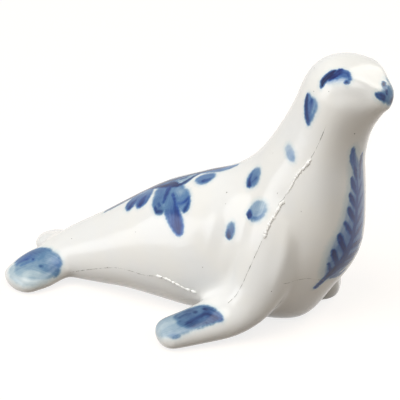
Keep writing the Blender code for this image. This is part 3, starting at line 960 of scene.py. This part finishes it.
def hairline_on(obj, title, half_width, breaks, material):
    """A fine uneven thread along the object's edges, which thins out here and there."""
    tree = Tree(title)
    width = tree.named_input("Half Width", "NodeSocketFloat", half_width)
    gaps = tree.named_input("Breaks", "NodeSocketFloat", breaks)
    curve = tree.node("GeometryNodeMeshToCurve", {"Mesh": tree.input.outputs["Geometry"]})
    where = tree.node("GeometryNodeInputPosition")
    waves = {"Vector": where.outputs[0], "Scale": HAIRLINE_WAVES, "Detail": 2.0}
    noise = tree.node("ShaderNodeTexNoise", waves)
    share = tree.node("ShaderNodeMapRange", {
        "Value": noise.outputs[0],
        "From Min": gaps,
        "From Max": FULL_THREAD,
        "To Min": THINNEST_THREAD,
        "To Max": 1.0,
    })
    radius = tree.math("MULTIPLY", share.outputs[0], width)
    circle = {"Resolution": THREAD_CORNERS, "Radius": 1.0}
    ring = tree.node("GeometryNodeCurvePrimitiveCircle", circle, mode="RADIUS")
    thick = tree.node("GeometryNodeSetCurveRadius", {"Curve": curve.outputs[0], "Radius": radius})
    thread = tree.node("GeometryNodeCurveToMesh", {
        "Curve": thick.outputs[0],
        "Profile Curve": ring.outputs["Curve"],
        "Fill Caps": True,
    })
    if "Scale" in thread.inputs:
        tree.tree.links.new(radius, thread.inputs["Scale"])
    tree.finish(thread.outputs[0], material)
    return tree.make(obj)


def chain_object(name, chains):
    """Open polylines as the edges of one mesh."""
    points, edges = [], []
    for chain in chains:
        start = len(points)
        points += [tuple(point) for point in chain]
        edges += [(start + n, start + n + 1) for n in range(len(chain) - 1)]
    mesh = bpy.data.meshes.new(name)
    mesh.from_pydata(points, edges, [])
    return linked(name, mesh)


def seam_points(view, skin, path, gap):
    return [view.place(skin, x, y) for x, y in smooth_path(path, gap)]


def far_side(skin, placed):
    """The same places on the seal's left."""
    return [skin.find_nearest(Vector((spot.x, -spot.y, spot.z)))[:2] for spot, normal in placed]


def dress(obj, material):
    obj.data.materials.clear()
    obj.data.materials.append(material)


def area_light(name, spot, aim, size, power, colour):
    data = bpy.data.lights.new(name, "AREA")
    data.shape = "RECTANGLE"
    data.size, data.size_y = size
    data.energy = power
    data.color = colour
    lamp = bpy.data.objects.new(name, data)
    lamp.location = spot
    lamp.rotation_euler = (aim - spot).to_track_quat("-Z", "Y").to_euler()
    bpy.context.scene.collection.objects.link(lamp)


def floor_material(studio):
    """Pale floor: white to the eye and to the glaze, and it keeps the shadow."""
    material = bpy.data.materials.new("pale floor")
    material.use_nodes = True
    nodes, links = material.node_tree.nodes, material.node_tree.links
    nodes.clear()
    seen = seen_directly(nodes, links)
    diffuse = nodes.new("ShaderNodeBsdfDiffuse")
    diffuse.inputs["Color"].default_value = (*studio.floor_colour, 1)
    glow = nodes.new("ShaderNodeEmission")
    strength = nodes.new("ShaderNodeMath")
    strength.operation = "MULTIPLY"
    strength.inputs[1].default_value = studio.floor_white
    both = nodes.new("ShaderNodeAddShader")
    output = nodes.new("ShaderNodeOutputMaterial")
    links.new(seen, strength.inputs[0])
    links.new(strength.outputs[0], glow.inputs["Strength"])
    links.new(diffuse.outputs[0], both.inputs[0])
    links.new(glow.outputs[0], both.inputs[1])
    links.new(both.outputs[0], output.inputs["Surface"])
    return material


def seen_directly(nodes, links):
    """1 for rays of the eye, and for those that a glossy or clear surface sends on."""
    path = nodes.new("ShaderNodeLightPath")
    total = path.outputs["Is Camera Ray"]
    for name in ("Is Glossy Ray", "Is Transmission Ray"):
        step = nodes.new("ShaderNodeMath")
        step.operation = "MAXIMUM"
        links.new(total, step.inputs[0])
        links.new(path.outputs[name], step.inputs[1])
        total = step.outputs[0]
    return total


def white_surroundings(studio):
    world = bpy.data.worlds.new("studio")
    bpy.context.scene.world = world
    world.use_nodes = True
    nodes, links = world.node_tree.nodes, world.node_tree.links
    nodes.clear()
    seen = seen_directly(nodes, links)
    strength = nodes.new("ShaderNodeMapRange")
    strength.inputs["To Min"].default_value = studio.fill
    strength.inputs["To Max"].default_value = 1.0
    background = nodes.new("ShaderNodeBackground")
    background.inputs["Color"].default_value = (1, 1, 1, 1)
    output = nodes.new("ShaderNodeOutputWorld")
    links.new(seen, strength.inputs["Value"])
    links.new(strength.outputs["Result"], background.inputs["Strength"])
    links.new(background.outputs[0], output.inputs["Surface"])


def add_camera(studio):
    data = bpy.data.cameras.new("picture camera")
    data.sensor_width = SENSOR_WIDTH
    data.lens = studio.lens
    data.clip_start = 0.01
    camera = bpy.data.objects.new("picture camera", data)
    back = way_out(studio.azimuth, studio.elevation)
    camera.location = VIEW_TARGET + back * studio.distance
    camera.rotation_euler = back.to_track_quat("Z", "Y").to_euler()
    bpy.context.scene.collection.objects.link(camera)
    bpy.context.scene.camera = camera


class GlazeSettings(bpy.types.PropertyGroup):
    skin_grid: FloatProperty(
        name="Skin Grid", description="Mesh size of the skin", default=0.00037, unit="LENGTH", min=0.0002
    )
    smoothing: IntProperty(name="Smoothing", description="Rounds that ease out facets", default=36, min=0)
    colour: FloatVectorProperty(
        name="Glaze", description="Warm white of the glaze", subtype="COLOR", default=(0.86, 0.85, 0.81)
    )
    cool_colour: FloatVectorProperty(
        name="Cool Glaze", description="Cooler white in places", subtype="COLOR", default=(0.84, 0.84, 0.82)
    )
    # The crumbs are glaze, but this white is lighter than the glaze: a painted highlight for the light the
    # crumbs catch.
    crumb_glint_colour: FloatVectorProperty(
        name="Crumbs", description="White of the glaze crumbs", subtype="COLOR", default=(0.95, 0.95, 0.93)
    )
    gloss: FloatProperty(
        name="Gloss", description="Strength of the glaze's reflections", default=0.36, subtype="FACTOR"
    )
    roughness: FloatProperty(
        name="Roughness", description="Roughness of the gloss", default=0.13, subtype="FACTOR"
    )
    waviness: FloatProperty(
        name="Waviness", description="Height of the glaze's ripples", default=0.00003, unit="LENGTH"
    )


class BrushworkSettings(bpy.types.PropertyGroup):
    edge_wobble: FloatProperty(
        name="Edge Wobble", description="Unevenness of the strokes' edges in millimetres", default=0.5
    )
    bleed_width: FloatProperty(
        name="Bleed Width", description="How far the blue bleeds out", default=0.0013, unit="LENGTH"
    )
    bleed: FloatProperty(
        name="Bleed Strength", description="Strength of that tint", default=0.60, subtype="FACTOR"
    )
    bleed_colour: FloatVectorProperty(
        name="Bleed", description="Tint beside the blue", subtype="COLOR", default=(0.56, 0.67, 0.70)
    )


class SeamSettings(bpy.types.PropertyGroup):
    thread: FloatProperty(
        name="Thread", description="Half width of the seam's dark hairline", default=0.00007, unit="LENGTH"
    )
    crumb: FloatProperty(
        name="Crumb", description="Size of a glaze crumb on the seam", default=0.00034, unit="LENGTH"
    )
    speck: FloatProperty(name="Speck", description="Size of a pinhole speck", default=0.0002, unit="LENGTH")


class StudioSettings(bpy.types.PropertyGroup):
    azimuth: FloatProperty(
        name="Azimuth", description="Camera's way round", default=VIEW_AZIMUTH, subtype="ANGLE"
    )
    elevation: FloatProperty(
        name="Elevation", description="Camera's height", default=VIEW_ELEVATION, subtype="ANGLE"
    )
    distance: FloatProperty(
        name="Distance", description="Camera to the seal", default=VIEW_DISTANCE, unit="LENGTH"
    )
    lens: FloatProperty(name="Lens", description="Focal length in millimetres", default=FOCAL_LENGTH)
    floor_colour: FloatVectorProperty(
        name="Floor", description="Colour that the floor throws", subtype="COLOR", default=(0.30, 0.26, 0.22)
    )
    floor_white: FloatProperty(name="Floor White", description="White that the floor shows", default=0.80)
    fill: FloatProperty(name="Fill", description="Light from all round", default=0.115)
    lamp_distance: FloatProperty(
        name="Lamp Distance", description="Lamps to the seal", default=0.9, unit="LENGTH"
    )
    lamp_power: FloatProperty(
        name="Lamp Power", description="Power of all the lamps", default=12.8, unit="POWER"
    )


class SEAL_OT_glazed_body(bpy.types.Operator):
    """Make the glazed body with its brushwork"""

    bl_idname = "seal.glazed_body"
    bl_label = "Glazed Body"

    def execute(self, context):
        body = make_skin(context.scene.seal_glaze)
        raise_relief(body.data, skin_tree(body.data))
        skin = skin_tree(body.data)
        paint_skin(body.data, skin)
        dress(body, painted_glaze(context.scene.seal_glaze, context.scene.seal_brushwork))
        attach(body, CAD_BODY)
        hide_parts(CAD_NODE)
        return {"FINISHED"}


class SEAL_OT_casting_seam(bpy.types.Operator):
    """Make the casting seam: a hairline with glaze crumbs on it"""

    bl_idname = "seal.casting_seam"
    bl_label = "Casting Seam"

    def execute(self, context):
        settings = context.scene.seal_seam
        glaze = context.scene.seal_glaze
        view = PictureView()
        skin = skin_tree(bpy.data.objects["glazed_seal"].data)
        chains = []
        for path in (NECK_SEAM, SHOULDER_CRACK, LEG_SEAM, BELLY_SEAM, CHEST_SEAM):
            placed = seam_points(view, skin, path, SEAM_GAP)
            chains.append([spot for spot, normal in placed])
            chains.append([spot for spot, normal in far_side(skin, placed)])
        seam = chain_object("seam_hairline", chains)
        line_glaze = mottled("seam line", DARK_WAVES, SEAM_DARK, SEAM_LIGHT, DARK_ROUGHNESS)
        hairline_on(seam, "seam hairline", half_width=settings.thread, breaks=0.40, material=line_glaze)
        crumbs = []
        for path in (SHOULDER_CRUMBS, SHOULDER_LOW_CRUMBS, BELLY_CRUMBS):
            placed = seam_points(view, skin, path, CRUMB_GAP)
            crumbs += placed + far_side(skin, placed)
        beads = points_object("seam_crumbs", crumbs, [1.0] * len(crumbs))
        # The crumbs drift between the glaze's own white and the lighter painted highlight.
        beads_on(
            beads, "seam crumbs", size=settings.crumb, flatness=0.65, spread=0.50, keep=0.80, seed=11,
            material=mottled("glaze crumbs", CRUMB_WAVES, glaze.crumb_glint_colour, glaze.colour, CRUMB_ROUGHNESS),
        )
        for piece in (seam, beads):
            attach(piece, CAD_BODY)
        return {"FINISHED"}


class SEAL_OT_pinholes(bpy.types.Operator):
    """Make the few dark pinhole specks in the glaze"""

    bl_idname = "seal.pinholes"
    bl_label = "Pinhole Specks"

    def execute(self, context):
        view = PictureView()
        skin = skin_tree(bpy.data.objects["glazed_seal"].data)
        placed = [view.place(skin, x, y) for x, y, size in SPECK_PLACES]
        specks = points_object("glaze_specks", placed, [size for x, y, size in SPECK_PLACES])
        beads_on(
            specks, "pinhole specks", size=context.scene.seal_seam.speck, flatness=0.25, spread=0.2,
            keep=1.0, seed=5,
            material=mottled("pinhole", DARK_WAVES, PINHOLE_DARK, PINHOLE_LIGHT, DARK_ROUGHNESS),
        )
        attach(specks, CAD_BODY)
        return {"FINISHED"}


class SEAL_OT_studio(bpy.types.Operator):
    """Set up the pale floor, the soft lights and the camera"""

    bl_idname = "seal.studio"
    bl_label = "Studio"

    def execute(self, context):
        studio = context.scene.seal_studio
        half = FLOOR_HALF_WIDTH
        mesh = bpy.data.meshes.new("floor")
        corners = ((-half, -half), (half, -half), (half, half), (-half, half))
        mesh.from_pydata([(x, y, FLOOR_HEIGHT) for x, y in corners], [], [(0, 1, 2, 3)])
        floor = linked("floor", mesh)
        dress(floor, floor_material(studio))
        white_surroundings(studio)
        for name, azimuth, elevation, size, share, colour in LAMPS:
            out = way_out(math.radians(azimuth), math.radians(elevation))
            spot = VIEW_TARGET + studio.lamp_distance * out
            area_light(name, spot, VIEW_TARGET, size, share * studio.lamp_power, colour)
        add_camera(studio)
        context.scene.view_settings.view_transform = "Standard"
        return {"FINISHED"}


class SEAL_PT_panel(bpy.types.Panel):
    """Lists the steps that dress the seal"""

    bl_idname = "SEAL_PT_panel"
    bl_label = "Glazed Seal"
    bl_space_type = "VIEW_3D"
    bl_region_type = "UI"
    bl_category = "Seal"

    def draw(self, context):
        for step in STEPS:
            self.layout.operator(step.bl_idname)


SETTINGS = {
    "seal_glaze": GlazeSettings,
    "seal_brushwork": BrushworkSettings,
    "seal_seam": SeamSettings,
    "seal_studio": StudioSettings,
}
STEPS = (SEAL_OT_glazed_body, SEAL_OT_casting_seam, SEAL_OT_pinholes, SEAL_OT_studio)


def register():
    for name, group in SETTINGS.items():
        bpy.utils.register_class(group)
        setattr(bpy.types.Scene, name, PointerProperty(type=group))
    for step in STEPS:
        bpy.utils.register_class(step)
    bpy.utils.register_class(SEAL_PT_panel)


def unregister():
    bpy.utils.unregister_class(SEAL_PT_panel)
    for step in reversed(STEPS):
        bpy.utils.unregister_class(step)
    for name, group in SETTINGS.items():
        delattr(bpy.types.Scene, name)
        bpy.utils.unregister_class(group)


def main():
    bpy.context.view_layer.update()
    register()
    bpy.ops.seal.glazed_body()
    bpy.ops.seal.casting_seam()
    bpy.ops.seal.pinholes()
    bpy.ops.seal.studio()


if __name__ == "__main__":
    main()
